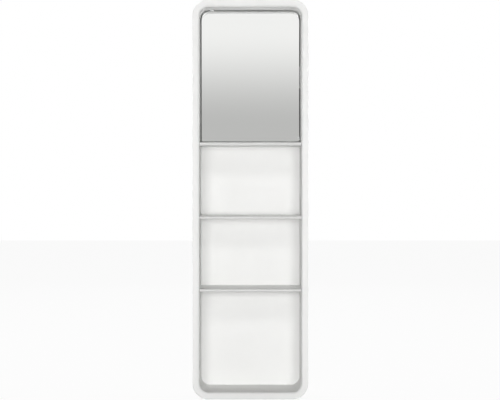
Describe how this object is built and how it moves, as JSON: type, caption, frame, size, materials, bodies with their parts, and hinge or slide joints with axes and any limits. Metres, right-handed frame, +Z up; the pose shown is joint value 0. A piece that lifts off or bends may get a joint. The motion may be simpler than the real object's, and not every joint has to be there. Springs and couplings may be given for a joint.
{
  "type": "bathroom mirror cabinet",
  "caption": "Tall narrow wall cabinet with rounded corners: a hinged mirror door over hidden storage, above open shelf compartments.",
  "frame": {"origin": "on the wall plane, midway between the two upper wall fixing slots", "axes": "+X right as seen from the front, +Y back into the wall (the front faces -Y), +Z up"},
  "size_m": [0.29, 0.15, 1],
  "materials": {
    "casing": "white satin lacquer",
    "liner": "white satin lacquer",
    "back_panel": "white satin sheet",
    "shelf": "white satin lacquer",
    "mirror": "silvered glass, bevelled edge",
    "tape": "grey foam bonding tape",
    "door_panel": "white moisture-resistant board",
    "steel": "zinc-plated steel",
    "pull": "polished chrome",
    "bush": "natural nylon",
    "catch": "moulded white plastic",
    "magnet": "ferrite"
  },
  "bodies": {
    "cabinet": {"outer_casing": "casing", "inner_liner": "liner", "back_panel": "back_panel", "shelf_upper": "shelf", "shelf_middle": "shelf", "shelf_lower": "shelf", "pivot_plate_lower": "steel", "pivot_plate_upper": "steel", "pivot_pin_lower": "steel", "pivot_pin_upper": "steel", "pivot_plate_screws": "steel", "catch_housing": "catch", "catch_magnet": "magnet", "catch_pole_plates": "steel", "catch_screws": "steel"},
    "mirror_door": {"mirror_glass": "mirror", "mirror_tape": "tape", "door_panel": "door_panel", "pivot_bush_lower": "bush", "pivot_bush_upper": "bush", "strike_plate": "steel", "strike_screws": "steel", "door_pull": "pull"}
  },
  "joints": [
    {"name": "door_hinge", "type": "hinge", "parent": "cabinet", "child": "mirror_door", "pos_m": [-0.098, -0.0605, -0.11125], "axis": [0, 0, -1], "range_deg": [0, 90]}
  ]
}
